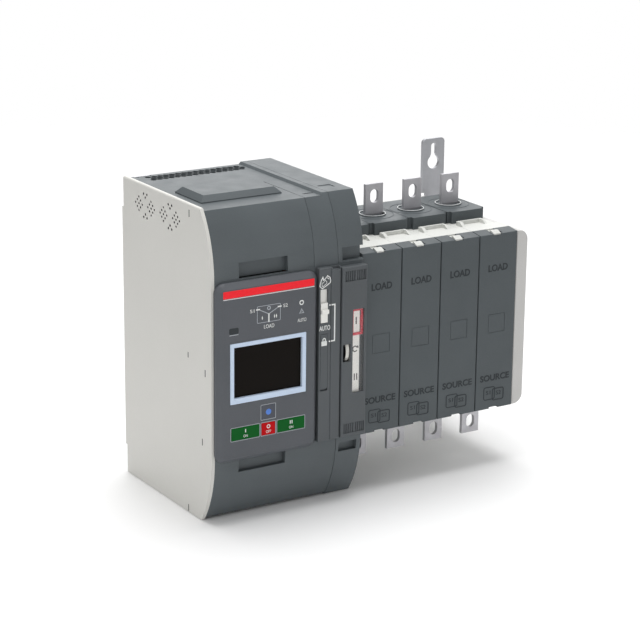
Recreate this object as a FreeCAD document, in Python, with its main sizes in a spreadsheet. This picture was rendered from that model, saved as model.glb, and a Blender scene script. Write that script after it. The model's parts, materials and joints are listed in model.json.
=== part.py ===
"""Automatic transfer switch, four poles, panel mounted. All lengths are in millimetres.

Model frame: origin on the mounting plane (the back face of the steel base plate), midway between
the feet and at half the housing's height. +X is to the right seen from the front, +Y from the
front of the switch towards the mounting panel, +Z up.

Sizes are written in the switch's corner frame: x from the outer face of the left side plate, y from
the front of the housing towards the panel, z from the bottom of the housing. place() carries them
into the model frame, and every placement is bound to the spreadsheet.
"""
import FreeCAD, Part
import Sketcher
import math
import os

Vector, Rotation, Placement = FreeCAD.Vector, FreeCAD.Rotation, FreeCAD.Placement
doc = FreeCAD.newDocument("transfer_switch")
sheet = doc.addObject("Spreadsheet::Sheet", "Params")

# ---------------------------------------------------------------- driving dimensions
# alias, value; x, y, z, front, back, top and bottom are places in the corner frame
DIMENSIONS = [
    # housing on the left, with its curved front and its seams
    ("housing_width", 144.0), ("housing_height", 264.5), ("housing_depth", 151.0),
    ("side_plate", 3.0), ("wall", 2.5), ("left_top", 262.5), ("left_bottom", 2.0),
    ("seam_high", 208.0), ("seam_low", 56.5), ("seam_x", 119.4),
    ("arc_radius", 98.6), ("nose_setback", 17.8), ("lid_height", 5.5),
    ("vent_step", 2.88), ("vent_z", 246.8), ("vent_radius", 1.05),
    # poles and their terminals
    ("pole_pitch", 40.0), ("pole_x", 144.5), ("pole_top", 211.5), ("pole_bottom", 53.3),
    ("cover_front", 2.3), ("body_front", 15.0), ("rail_height", 1.7), ("clip_width", 7.5),
    ("tongue_width", 18.0), ("tongue_thick", 3.5), ("bar_thick", 3.0),
    ("tongue_top", 249.6), ("tongue_bottom", 20.8), ("load_y", 78.5), ("source_step", 40.5),
    ("slot_radius", 4.2), ("slot_length", 12.0), ("slot_below_top", 11.0),
    ("slot_above_bottom", 10.7),
    ("block_top", 222.0), ("block_front", 50.0), ("block_back", 112.0), ("end_x", 316.0),
    # shafts, rotors and moving contacts
    ("shaft_z", 132.5), ("shaft_1_y", 58.25), ("shaft_2_y", 98.75),
    ("shaft_radius", 6.0), ("run_fit", 0.05), ("drum_radius", 14.0),
    ("blade_reach", 40.0), ("blade_width", 10.0), ("blade_thick", 4.0),
    ("swing_degrees", 54.0), ("rocker_radius", 15.0), ("rod_radius", 2.5),
    # selector console, indicator panel and operator module
    ("console_front", -6.0), ("console_bottom", 57.5), ("console_top", 207.0),
    ("panel_front", -7.5), ("panel_x", 119.6), ("panel_bottom", 58.0), ("panel_top", 205.3),
    ("bezel_x0", 2.0), ("bezel_x1", 97.2), ("bezel_bottom", 54.5), ("bezel_top", 206.0),
    ("bezel_chamfer", 4.6), ("bezel_radius", 8.0),
    ("display_x0", 13.2), ("display_x1", 84.6), ("display_bottom", 105.0),
    ("display_top", 156.4), ("display_border", 3.6),
    ("key_gap", 0.15), ("key_bottom", 74.0), ("key_top", 84.4),
    # base plate, its feet and its mounting holes
    ("base_thick", 3.0), ("left_foot_x", 17.5), ("right_foot_x", 317.5), ("foot_width", 24.0),
    ("foot_bottom", 2.5), ("left_foot_top", 262.0), ("right_foot_top", 264.1),
    ("keyhole_radius", 6.3), ("keyslot_radius", 2.75),
    ("hole_bottom_z", 8.0), ("hole_top_z", 257.0),
]


class Number:
    """A number that also carries the spreadsheet formula it comes from."""

    def __init__(self, value, formula):
        self.value = float(value)
        self.formula = formula

    def __add__(self, other):
        other = number(other)
        return Number(self.value + other.value, "(%s + %s)" % (self.formula, other.formula))

    def __sub__(self, other):
        other = number(other)
        return Number(self.value - other.value, "(%s - %s)" % (self.formula, other.formula))

    def __mul__(self, other):
        other = number(other)
        return Number(self.value * other.value, "(%s * %s)" % (self.formula, other.formula))

    def __truediv__(self, other):
        other = number(other)
        return Number(self.value / other.value, "(%s / %s)" % (self.formula, other.formula))

    def __rsub__(self, other):
        return number(other) - self

    def __neg__(self):
        return self * -1

    __radd__ = __add__
    __rmul__ = __mul__


def number(value):
    return value if isinstance(value, Number) else Number(value, "(%r)" % float(value))


class Dimensions:
    """The driving dimensions, one attribute for each alias."""


dim = Dimensions()
for row, (alias, value) in enumerate(DIMENSIONS, 1):
    sheet.set("A%d" % row, repr(value))
    sheet.setAlias("A%d" % row, alias)
    setattr(dim, alias, Number(value, "Params." + alias))
doc.recompute()

# corner frame to model frame
OFFSET = (-(dim.left_foot_x + dim.right_foot_x) / 2,
          -(dim.housing_depth + dim.base_thick),
          -dim.housing_height / 2)
PIECES = []


# ---------------------------------------------------------------- objects bound to the sheet
def piece(obj, label):
    """Names an object and lists it for export."""
    obj.Label = label
    PIECES.append(obj)


def drive(obj, prop, value):
    """Sets a property and binds it to its formula."""
    value = number(value)
    setattr(obj, prop, value.value)
    obj.setExpression(prop, value.formula)


def place(obj, x, y, z, rotation=None):
    """Puts an object at a corner-frame point."""
    base = [coordinate + offset for coordinate, offset in zip((x, y, z), OFFSET)]
    point = Vector(*[coordinate.value for coordinate in base])
    obj.Placement = Placement(point, rotation or Rotation())
    for axis, coordinate in zip("xyz", base):
        obj.setExpression(".Placement.Base." + axis, coordinate.formula)
    return obj


def block(corner, sizes, rotation=None):
    """A box of given sizes, turned about its corner."""
    obj = doc.addObject("Part::Box", "box")
    for prop, size in zip(("Length", "Width", "Height"), sizes):
        drive(obj, prop, size)
    return place(obj, *corner, rotation)


def box(x0, y0, z0, x1, y1, z1):
    return block((x0, y0, z0), (x1 - x0, y1 - y0, z1 - z0))


ALONG = {"z": Rotation(), "x": Rotation(Vector(0, 1, 0), 90), "y": Rotation(Vector(1, 0, 0), -90)}


def cylinder(axis, x, y, z, radius, length):
    """A cylinder that starts at a corner-frame point and runs along +axis."""
    obj = doc.addObject("Part::Cylinder", "cylinder")
    drive(obj, "Radius", radius)
    drive(obj, "Height", length)
    return place(obj, x, y, z, ALONG[axis])


def fuse(*objs):
    obj = doc.addObject("Part::MultiFuse", "fuse")
    obj.Shapes = list(objs)
    obj.Refine = True
    return obj


def group(*objs):
    obj = doc.addObject("Part::Compound", "group")
    obj.Links = list(objs)
    return obj


def cut(base, *tools):
    obj = doc.addObject("Part::Cut", "cut")
    obj.Base = base
    obj.Tool = tools[0] if len(tools) == 1 else group(*tools)
    return obj


# ---------------------------------------------------------------- outlines
# Each returns a function that draws the outline in a sketch.
def bind(sketch, kind, elements, value):
    value = number(value)
    index = sketch.addConstraint(Sketcher.Constraint(kind, *elements, value.value))
    sketch.setExpression("Constraints[%d]" % index, value.formula)


def bind_point(sketch, geometry, point, across, up):
    bind(sketch, "DistanceX", (-1, 1, geometry, point), across)
    bind(sketch, "DistanceY", (-1, 1, geometry, point), up)


def arc_between(start, end, radius, side):
    """The short arc from start to end, its centre on the left (side +1) or the right (-1)."""
    chord = end - start
    height = math.sqrt(radius ** 2 - (chord.Length / 2) ** 2)
    left = Vector(-chord.y, chord.x, 0).normalize()
    center = (start + end) * 0.5 + left * (height * side)
    first, last = [math.atan2(p.y - center.y, p.x - center.x) for p in (start, end)]
    if side < 0:
        first, last = last, first
    if last < first:
        last += 2 * math.pi
    return Part.ArcOfCircle(Part.Circle(center, Vector(0, 0, 1), radius), first, last)


def outline(points, arcs=None):
    """A closed outline; arcs maps a segment's number to (radius, side)."""
    arcs = arcs or {}

    def draw(sketch):
        corners = [Vector(number(a).value, number(b).value, 0) for a, b in points]
        segments = []
        for i, start in enumerate(corners):
            end = corners[(i + 1) % len(corners)]
            ends = (1, 2)
            if i in arcs:
                radius, side = arcs[i]
                curve = arc_between(start, end, radius.value, side)
                # an arc always runs counterclockwise, so its ends swap when side is -1
                if side < 0:
                    ends = (2, 1)
            else:
                curve = Part.LineSegment(start, end)
            segments.append((sketch.addGeometry(curve, False),) + ends)
        for i, (geometry, first, last) in enumerate(segments):
            bind_point(sketch, geometry, first, *points[i])
            following = segments[(i + 1) % len(segments)]
            sketch.addConstraint(
                Sketcher.Constraint("Coincident", geometry, last, following[0], following[1]))
            if i in arcs:
                bind(sketch, "Radius", (geometry,), arcs[i][0])
    return draw


def rect(a0, b0, a1, b1):
    return outline([(a0, b0), (a1, b0), (a1, b1), (a0, b1)])


def circles(items):
    """Circles given as (across, up, radius)."""
    def draw(sketch):
        for across, up, radius in items:
            center = Vector(number(across).value, number(up).value, 0)
            circle = Part.Circle(center, Vector(0, 0, 1), number(radius).value)
            geometry = sketch.addGeometry(circle, False)
            bind_point(sketch, geometry, 3, across, up)
            bind(sketch, "Radius", (geometry,), radius)
    return draw


# ---------------------------------------------------------------- PartDesign features
PLANE = {"z": "XY_Plane", "y": "XZ_Plane", "x": "YZ_Plane"}


def new_body(name):
    return place(doc.addObject("PartDesign::Body", name), 0, 0, 0)


def extrude(body, kind, axis, at, length, draw):
    sketch = body.newObject("Sketcher::SketchObject", "sketch")
    origin_plane = [f for f in body.Origin.OriginFeatures if f.Role == PLANE[axis]][0]
    sketch.AttachmentSupport = [(origin_plane, "")]
    sketch.MapMode = "FlatFace"
    # the XZ plane faces -Y
    offset = -number(at) if axis == "y" else number(at)
    sketch.AttachmentOffset = Placement(Vector(0, 0, offset.value), Rotation())
    sketch.setExpression(".AttachmentOffset.Base.z", offset.formula)
    draw(sketch)
    feature = body.newObject("PartDesign::" + kind, kind.lower())
    feature.Profile = sketch
    drive(feature, "Length", length)


def pad(body, axis, low, high, draw):
    """Adds an outline drawn across axis, from low to high along it."""
    extrude(body, "Pad", axis, high if axis == "y" else low, high - low, draw)


def pocket(body, axis, low, high, draw):
    """Cuts an outline drawn across axis, from low to high along it."""
    doc.recompute([body], True)
    before = body.Shape.Volume
    extrude(body, "Pocket", axis, low if axis == "y" else high, high - low, draw)
    doc.recompute([body], True)
    if not before - body.Shape.Volume > 1e-3:
        raise SystemExit("a pocket cut nothing in " + body.Name)


def near(a, b):
    return abs(a - b) < 0.02


def ends_at(**coordinates):
    """An edge test: both ends lie at the given coordinates."""
    wanted = [(axis, number(value).value) for axis, value in coordinates.items()]

    def test(start, end):
        return all(near(getattr(point, axis), value)
                   for point in (start, end) for axis, value in wanted)
    return test


def dress(body, kind, size, *tests):
    """Fillets or chamfers the edges of the body that pass any of the tests."""
    doc.recompute()
    base = body.Tip
    names = []
    for i, edge in enumerate(base.Shape.Edges, 1):
        ends = [vertex.Point for vertex in edge.Vertexes]
        if len(ends) == 2 and any(test(*ends) for test in tests):
            names.append("Edge%d" % i)
    if not names:
        raise SystemExit("no edge to dress in " + body.Name)
    feature = body.newObject("PartDesign::" + kind, kind.lower())
    feature.Base = (base, names)
    drive(feature, "Radius" if kind == "Fillet" else "Size", size)
    doc.recompute()


# ---------------------------------------------------------------- left side plate
width, height, depth = dim.housing_width, dim.housing_height, dim.housing_depth
wall, arc_radius, nose = dim.wall, dim.arc_radius, dim.nose_setback

plate = new_body("side_plate_left")
pad(plate, "x", 0, dim.side_plate, outline(
    [(nose, 0), (depth, 0), (depth, 25), (depth + 2.5, 25), (depth + 2.5, 238), (depth, 238),
     (depth, height), (nose, height), (0, dim.seam_high), (0, dim.seam_low)],
    {7: (arc_radius, 1), 9: (arc_radius, 1)}))
dress(plate, "Fillet", 1.8, ends_at(x=0, z=height))

# two fields of round vents: two diamonds of nine, and six larger holes above and below them
DIAMOND_Y = (122.7, 101.0)
LARGE_VENTS = [(114.2, 256.8), (108.2, 256.8), (111.2, 254.0),      # y, z
               (111.3, 239.6), (114.2, 236.9), (108.4, 236.9)]
vents = []
for shift in (0.0, -43.3):
    for y in DIAMOND_Y:
        for i in (-1, 0, 1):
            for j in (-1, 0, 1):
                vents.append((y + shift + dim.vent_step * (i + j),
                              dim.vent_z + dim.vent_step * (i - j), dim.vent_radius))
    vents += [(y + shift, z, 1.15) for y, z in LARGE_VENTS]
pocket(plate, "x", -1, dim.side_plate + 1, circles(vents))

# shallow slots in the outer face: middle y, bottom z, top z
SIDE_SLOTS = [(35.5, 253.7, 259.8), (15.4, 66.0, 71.9), (39.8, 0.6, 6.6),
              (38.8, 135.0, 139.7), (10.2, 126.2, 132.2)]
for y, z0, z1 in SIDE_SLOTS:
    pocket(plate, "x", -1, 1.6, rect(y - 0.7, z0, y + 0.7, z1))
piece(plate, "side_plate_left")

# ---------------------------------------------------------------- curved housing covers
upper_edge = number(207.4)                # bottom edge of the upper covers
lower_edge = dim.seam_low + 0.6           # top edge of the lower covers
left_end = dim.seam_x - 0.15
right_start = dim.seam_x + 0.15


def arc_front(seam, radius, z, inset=0):
    """The y at height z of the front arc that starts at the seam, inset from the front."""
    rise = z - seam
    square = radius * radius - rise * rise
    return inset + radius - Number(math.sqrt(square.value), "sqrt(%s)" % square.formula)


def cover(name, x0, x1, edge, outer_z, upper):
    """A curved shell from its edge at the seam to its top or bottom, hollow inside."""
    body = new_body(name)
    seam = dim.seam_high if upper else dim.seam_low
    side = 1 if upper else -1
    inner_radius = arc_radius - wall
    inner_z = outer_z - wall * side
    pad(body, "x", x0, x1, outline(
        [(0, edge), (0, seam), (arc_front(seam, arc_radius, outer_z), outer_z),
         (depth, outer_z), (depth, edge), (depth - wall, edge), (depth - wall, inner_z),
         (arc_front(seam, inner_radius, inner_z, wall), inner_z), (wall, seam), (wall, edge)],
        {1: (arc_radius, -side), 7: (inner_radius, side)}))
    return body


def recess(body, outer, inner):
    """A tray in the front of a cover; outer and inner are x0, z0, x1, z1."""
    pad(body, "y", 2, 7.5, rect(*outer))
    pocket(body, "y", -1, 5.5, rect(*inner))


left_top, seam_high = dim.left_top, dim.seam_high
shell = cover("upper_shell", dim.side_plate, left_end, upper_edge, left_top, True)
# raised lid over the control wiring
lid_top = left_top + dim.lid_height
pad(shell, "z", left_top - 1, lid_top, rect(12.9, 38.5, 88, 83))
dress(shell, "Chamfer", 4.6, ends_at(z=lid_top))
# raised ridge beside the mechanism cover
ridge_x, ridge_z = 112, left_top - 1
pad(shell, "x", ridge_x, left_end, outline(
    [(arc_front(seam_high, arc_radius, ridge_z), ridge_z),
     (arc_front(seam_high, arc_radius, height), height), (depth, height), (depth, ridge_z)],
    {0: (arc_radius, -1)}))
dress(shell, "Chamfer", 1.9, ends_at(x=ridge_x, z=height))
# finger recess above the operator panel
recess(shell, (23.7, upper_edge, 73.4, 222.5), (25.7, 207.0, 71.4, 220.5))
# short groove in the top, beside the ridge
pocket(shell, "z", left_top - 0.7, left_top + 1, rect(102, 27, 111.6, 29))
# seam line of the left wiring lid, along the top and down the curved front
pocket(shell, "z", left_top - 0.5, left_top + 0.5, rect(96.2, 30, 96.8, 82))
line_radius, line_z = arc_radius - 0.5, left_top - 0.5
pocket(shell, "x", 96.3, 96.7, outline(
    [(-1, 206), (0.5, 206), (0.5, seam_high),
     (arc_front(seam_high, line_radius, line_z, 0.5), line_z), (30, line_z),
     (30, left_top + 1), (-1, left_top + 1)],
    {2: (line_radius, -1)}))
# room for the head of the screw behind the left keyhole
foot_x, hole_z = dim.left_foot_x, dim.hole_top_z
pocket(shell, "y", depth - 3.9, depth + 1,
       rect(foot_x - 7.5, hole_z - 24, foot_x + 7.5, left_top + 1))
# three staggered rows of hexagonal vents in the top
VENT_PITCH_X, VENT_PITCH_Y = 5.7, 4.95
hexagons = []
for row in range(3):
    for column in range(16):
        prism = doc.addObject("Part::Prism", "vent")
        prism.Polygon = 6
        prism.Circumradius = 3.05
        prism.Height = 6
        place(prism, 19.6 + VENT_PITCH_X * (column + 0.5 * (row % 2)),
              133.4 + VENT_PITCH_Y * row, left_top - 4, Rotation(Vector(0, 0, 1), 30))
        hexagons.append(prism)
piece(cut(shell, *hexagons), "upper_cover")

lower = cover("lower_cover", dim.side_plate, left_end, lower_edge, dim.left_bottom, False)
recess(lower, (23.7, 40.8, 72, 57.1), (25.7, 42.8, 70, 57.5))
# room for the head of the screw in the lower left hole
pocket(lower, "y", depth - 3.9, depth + 1,
       rect(foot_x - 6.2, 1, foot_x + 6.2, dim.hole_bottom_z + 7))
piece(lower, "lower_cover")

# the mechanism covers have a wall on the right
mech_upper = cover("mechanism_upper_cover", right_start, width, upper_edge, height, True)
pad(mech_upper, "x", width - wall, width, outline(
    [(2, upper_edge), (2, seam_high), (19.5, height - 1), (depth - 2, height - 1),
     (depth - 2, upper_edge)]))
recess(mech_upper, (121.7, upper_edge, width - 0.5, 222.5), (123.6, 209.2, width + 1, 220.3))
pocket(mech_upper, "z", height - 0.5, height + 1, rect(123, 31, 135, 40))
piece(mech_upper, "mechanism_upper_cover")

mech_lower = cover("mechanism_lower_cover", right_start, width, lower_edge, number(0), False)
pad(mech_lower, "x", width - wall, width, outline(
    [(2, lower_edge), (2, dim.seam_low - 0.5), (19.5, 1), (depth - 2, 1),
     (depth - 2, lower_edge)]))
recess(mech_lower, (120.6, 40.8, 141.8, 53.5), (122.4, 42.8, 140, 51))
piece(mech_lower, "mechanism_lower_cover")

# ---------------------------------------------------------------- chassis
# front, right and back walls between the covers
shaft_1 = (dim.shaft_1_y, dim.shaft_z)    # y, z
shaft_2 = (dim.shaft_2_y, dim.shaft_z)
RODS = [(24, 66), (140, 66), (24, 200), (140, 200)]      # y, z of the tie rods
rod_holes = [(y, z, dim.rod_radius + 0.1) for y, z in RODS]
shaft_and_rod_holes = circles([(*shaft_1, 8), (*shaft_2, 8)] + rod_holes)

chassis = new_body("chassis")
left = dim.side_plate
pad(chassis, "z", lower_edge + 0.1, upper_edge - 0.1, outline(
    [(left, 0), (width, 0), (width, depth), (left, depth), (left, depth - wall),
     (width - wall, depth - wall), (width - wall, wall), (left, wall)]))
FRONT_OPENINGS = [                        # x0, z0, x1, z1
    (8.0, 61, 91.7, 199.5),               # operator module
    (100.6, 157, 104.9, 186),             # mode selector stem
    (101.1, 104, 104.9, 149),             # padlock tab
    (110.6, 68.5, 117.6, 196.5),          # handle storage
    (120.9, 110, 127.6, 148),             # manual drive rocker
    (133.4, 100, 141.3, 164.6),           # position indicator tail
]
for opening in FRONT_OPENINGS:
    pocket(chassis, "y", -1, wall + 1, rect(*opening))
pocket(chassis, "x", width - wall - 1, width + 1, shaft_and_rod_holes)
piece(chassis, "chassis")

# ---------------------------------------------------------------- selector console
front = dim.console_front
bottom, top = dim.console_bottom, dim.console_top
console = new_body("selector_console")
pad(console, "y", front, 0, rect(97.8, bottom, 108.9, top))
dress(console, "Fillet", 1.2, ends_at(y=front, z=top), ends_at(y=front, z=bottom))
pocket(console, "y", front - 1, 1, rect(99.2, 160.4, 106.4, 189.3))      # selector slot
pocket(console, "y", -3.8, 1, rect(98.5, 152.2, 107.2, 205.2))           # room for the slide
pocket(console, "y", front - 1, 1, rect(99.3, 102.0, 106.5, 151.0))      # padlock tab slot
piece(console, "selector_console")

# slide, knob, grip rib and stem
selector = fuse(box(98.7, -3.7, 152.6, 107.0, -1.2, 192.0),
                box(99.5, -6.3, 160.8, 106.1, -3.0, 177.6),
                box(99.5, -8.4, 168.6, 106.1, -5.5, 172.2),
                box(101.0, -2.0, 158.5, 104.5, 9.0, 170.0))
piece(selector, "mode_selector")

tab = cut(fuse(box(99.5, front, 102.2, 106.3, -3.0, 150.8),
               box(101.5, -4.0, 105, 104.5, 16.0, 148)),
          cylinder("x", 100, 3.6, 126.5, 3.8, 6))
tab = cut(tab, box(99.3, front - 1, 102.0, 106.5, -4.6, 104.0))
piece(tab, "padlock_tab")

handle = new_body("manual_handle")
pad(handle, "y", front, -0.3, rect(109.2, 57.6, 119.0, 206.8))
pad(handle, "y", -0.6, 6.0, rect(111.0, 69.0, 117.2, 196.0))
dress(handle, "Fillet", 1.4, ends_at(y=front))
pocket(handle, "y", front - 1, -2.2, rect(110.6, 204.7, 117.8, 208))
piece(handle, "manual_handle")

# ---------------------------------------------------------------- position indicator panel
front = dim.panel_front
panel = new_body("indicator_panel")
pad(panel, "y", front, 0, rect(dim.panel_x, dim.panel_bottom, width, dim.panel_top))
dress(panel, "Fillet", 1.5, ends_at(y=front))
pocket(panel, "y", front + 1.5, 1, rect(120.9, 73, 142.7, 191))          # hollow back
pocket(panel, "y", front - 1, front + 2, rect(130, 96, 141.2, 168.4))    # window
pocket(panel, "y", front - 1, front + 2, rect(120.6, 124.0, 127.9, 139.1))   # rocker slot
# a sunk field of nine upright ribs near the top and another near the bottom
for z in (193.1, 61.0):
    pocket(panel, "y", front - 1, front + 1.4, rect(122.1, z, 142.3, z + 8.9))
    for rib in range(9):
        x = 123.4 + 2.15 * rib + (0.5 if rib > 4 else 0)
        rib_width = 2.0 if rib == 4 else 0.8
        pad(panel, "y", front + 0.6, front + 1.5, rect(x, z - 0.1, x + rib_width, z + 9.0))
piece(panel, "indicator_panel")

piece(box(129.2, front + 1.5, 94.5, 141.9, front + 2.2, 170), "indicator_window")
scale = fuse(box(129.2, -3.9, 93.5, 138.8, -2.9, 171.0),
             box(129.2, -3.5, 93.5, 130.2, 0, 171.0),
             box(132.0, -3.5, 93.5, 133.0, 0, 171.0))
piece(scale, "indicator_scale")

# ---------------------------------------------------------------- operator module
dx0, dx1 = dim.display_x0, dim.display_x1
dz0, dz1 = dim.display_bottom, dim.display_top
gap, border = dim.key_gap, dim.display_border
KEYS = {                                  # x0, z0, x1, z1
    "key_source_1": (14.2, dim.key_bottom, 40.3, dim.key_top),
    "key_off": (42.5, dim.key_bottom, 55.3, dim.key_top),
    "key_source_2": (57.6, dim.key_bottom, 83.4, dim.key_top),
    "key_auto": (42.5, 87.8, 55.3, 99.6),
}

bezel = new_body("hmi_bezel")
pad(bezel, "y", front, -0.1, rect(dim.bezel_x0, dim.bezel_bottom, dim.bezel_x1, dim.bezel_top))
dress(bezel, "Fillet", dim.bezel_radius, lambda start, end: abs(start.y - end.y) > 5)
dress(bezel, "Chamfer", dim.bezel_chamfer, ends_at(y=front))
pocket(bezel, "y", -5.0, 1, rect(9.5, 62.5, 89.8, 198))
pocket(bezel, "y", front - 1, 0, rect(dx0, dz0, dx1, dz1))
for x0, z0, x1, z1 in KEYS.values():
    pocket(bezel, "y", front - 1, -4, rect(x0 - gap, z0 - gap, x1 + gap, z1 + gap))
piece(bezel, "hmi_bezel")

# each key has a flange behind the bezel
for label, (x0, z0, x1, z1) in KEYS.items():
    key = fuse(box(x0, front - 0.35, z0, x1, -4.6, z1),
               box(x0 - 0.9, -4.9, z0 - 0.9, x1 + 0.9, -4.4, z1 + 0.9))
    piece(key, label)

frame = new_body("display_frame")
pad(frame, "y", front - 0.35, -5.0, rect(dx0 + 0.1, dz0 + 0.1, dx1 - 0.1, dz1 - 0.1))
pocket(frame, "y", front - 1, -4,
       rect(dx0 + border, dz0 + border + 1.2, dx1 - border, dz1 - border))
piece(frame, "display_frame")
piece(box(dx0 + 0.6, -4.9, dz0 + 0.6, dx1 - 0.6, -3.9, dz1 - 0.6), "display_lens")
piece(box(dx0 + 1, -3.8, dz0 + 1, dx1 - 1, -1.2, dz1 - 1), "display_module")
piece(cut(box(11, -3.4, 64.5, 88.5, -1.8, 196.5),
          box(dx0 - 1, -4, dz0 - 1, dx1 + 1, 0, dz1 + 1)), "hmi_board")

rear = new_body("hmi_rear_shell")
pad(rear, "y", -0.1, 18, rect(8.6, 61.6, 91.1, 198.9))
pocket(rear, "y", -1, 16, rect(10.6, 63.6, 89.1, 196.9))
piece(rear, "hmi_rear_shell")

# ---------------------------------------------------------------- control electronics
# the board stands along the left side, its components on its right face
BOARD_FACE = 10.6
COMPONENTS = [                            # y0, z0, x1, y1, z1
    (60, 120, 13.6, 84, 144), (96, 150, 15.6, 118, 172), (44, 84, 18.6, 60, 100),
    (100, 84, 22.6, 132, 92), (44, 156, 14.6, 58, 190), (66, 76, 40, 96, 112),
]
ROUND_COMPONENTS = [(108, 128), (124, 128), (108, 110)]      # y, z
piece(group(box(9.0, 30, 72, BOARD_FACE, 140, 198),
            *[box(BOARD_FACE, y0, z0, x1, y1, z1) for y0, z0, x1, y1, z1 in COMPONENTS],
            *[cylinder("x", BOARD_FACE, y, z, 6, 16) for y, z in ROUND_COMPONENTS]),
      "control_board")

# a row of five terminals, each with two holes in its back
terminals = []
for i in range(5):
    x = 27 + 14.2 * i
    terminals.append(cut(box(x, 112, 4.6, x + 13.8, 132, 20),
                         cylinder("y", x + 4, 111, 12, 1.6, 8),
                         cylinder("y", x + 10, 111, 12, 1.6, 8)))
piece(group(*terminals), "control_terminals")

# ---------------------------------------------------------------- positions in the mechanism
def swung(center, angle, along, across=0):
    """The (y, z) point at along and across from a center, turned by angle (0 +Y, 90 +Z)."""
    turn = math.radians(angle)
    y, z = center
    return (y + along * math.cos(turn) - across * math.sin(turn),
            z + along * math.sin(turn) + across * math.cos(turn))


# the mechanism stands at position I, half the swing away from the middle
half_swing = dim.swing_degrees.value / 2
to_front, to_top, to_bottom = 180 - half_swing, 90 - half_swing, 270 - half_swing
SOLENOID_ARM, LINK_ARM, MANUAL_ARM, INDICATOR_ARM = 15, 13, 16, 54       # lever lengths
LINK_PIN, MANUAL_PIN = 2.0, 1.8                                          # pin radii
rocker_center = (8.6, dim.shaft_z)
solenoid_pin = swung(shaft_1, to_front, SOLENOID_ARM)
link_pin_1 = swung(shaft_1, to_top, LINK_ARM)
link_pin_2 = swung(shaft_2, to_top, LINK_ARM)
manual_pin = swung(shaft_1, to_bottom, MANUAL_ARM)
rocker_link_pin = swung(rocker_center, to_bottom, MANUAL_ARM)
indicator_pin = swung(shaft_1, to_front, INDICATOR_ARM)

# ---------------------------------------------------------------- mechanism frame and solenoid
running_radius = dim.shaft_radius + dim.run_fit
back = depth - wall
mech_frame = cut(fuse(box(92.2, 24, 72, 94.2, back, 193.5),
                      box(138, 24, 72, 140, back, 193.5),
                      box(93, back - 2, 72, 139, back, 193.5)),
                 *[cylinder("x", x, *shaft, running_radius, 6)
                   for x in (90, 136) for shaft in (shaft_1, shaft_2)],
                 box(135, 20, 98, 141, 30, 167))
piece(mech_frame, "mechanism_frame")

SOLENOID = (110.5, 43.7)                  # x, y of the upright axis of the coils
sx, sy = SOLENOID
coils = []
for z in (160.0, 66.0):
    coils.append(cut(fuse(cylinder("z", sx, sy, z + 2, 13.5, 34),
                          cylinder("z", sx, sy, z, 15.5, 2.5),
                          cylinder("z", sx, sy, z + 35.5, 15.5, 2.5),
                          box(94.2, sy - 8, z, 99, sy + 8, z + 38)),
                     cylinder("z", sx, sy, z - 1, 6.4, 40)))
piece(group(*coils), "solenoid_coils")

# the armature is slotted for the pin of the source 1 crank
z = solenoid_pin[1]
armature = cut(fuse(cylinder("z", sx, sy, z - 38, 6.0, 76),
                    box(103.5, sy - 6.5, z - 7, 120.9, sy + 7.5, z + 7)),
               box(116.6, sy - 5.0, z - 2.35, 125, sy + 10, z + 2.35))
piece(armature, "solenoid_armature")

# ---------------------------------------------------------------- shafts, cranks and links
CRANK_X = (125.0, 128.5)                  # both cranks lie between these
bore_radius = dim.shaft_radius + 0.02
bore_1 = cylinder("x", 90, *shaft_1, bore_radius, 60)
bore_2 = cylinder("x", 90, *shaft_2, bore_radius, 60)


def turned_box(x, center, angle, along, sizes):
    """A box turned about X, centred across its length, that starts at along from the center."""
    corner = swung(center, angle, along, -sizes[2] / 2)
    return block((x, *corner), sizes, Rotation(Vector(1, 0, 0), angle))


def lever(center, angle, length, x_range, half_width, hub_radius):
    """The hub, bar and round end of a flat lever on a shaft."""
    x0, x1 = x_range
    tip = swung(center, angle, length)
    return [cylinder("x", x0, *center, hub_radius, x1 - x0),
            turned_box(x0, center, angle, 0, (x1 - x0, length, 2 * half_width)),
            cylinder("x", x0, *tip, half_width, x1 - x0)]


def link(x0, x1, start, end, half_height, eye_radius, pin_radius):
    """A level bar between two pins, with an eye at each."""
    bar = box(x0, start[0], start[1] - half_height, x1, end[0], end[1] + half_height)
    eyes = [cylinder("x", x0, *pin, eye_radius, x1 - x0) for pin in (start, end)]
    holes = [cylinder("x", x0 - 1, *pin, pin_radius + 0.06, x1 - x0 + 2) for pin in (start, end)]
    return cut(fuse(bar, *eyes), *holes)


crank_1 = cut(fuse(*lever(shaft_1, to_front, SOLENOID_ARM, CRANK_X, 4.2, 10),
                   cylinder("x", 117.2, *solenoid_pin, 2.2, 8.5),
                   *lever(shaft_1, to_top, LINK_ARM, CRANK_X, 4.2, 10),
                   cylinder("x", 128, *link_pin_1, LINK_PIN, 4.6),
                   *lever(shaft_1, to_bottom, MANUAL_ARM, CRANK_X, 4.0, 10),
                   cylinder("x", 121.1, *manual_pin, MANUAL_PIN, 4.8)), bore_1)
piece(crank_1, "source_1_crank")

indicator_arm = cut(fuse(*lever(shaft_1, to_front, INDICATOR_ARM, (134.0, 136.6), 3.0, 9),
                         cylinder("x", 136, *indicator_pin, 1.2, 5.3)), bore_1)
piece(indicator_arm, "indicator_arm")

# a frame whose tail is driven by the indicator arm's pin
z = indicator_pin[1]
indicator = cut(fuse(box(130.3, -5.0, 145.2, 141.6, -4.1, 168.2),
                     box(139.4, -4.8, 153.0, 141.0, 13.2, 160.6)),
                box(132.1, -6, 147.3, 139.5, -3, 166.1),
                box(139.0, 2.6, z - 1.87, 142, 12.4, z + 1.87))
piece(indicator, "position_indicator")

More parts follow.
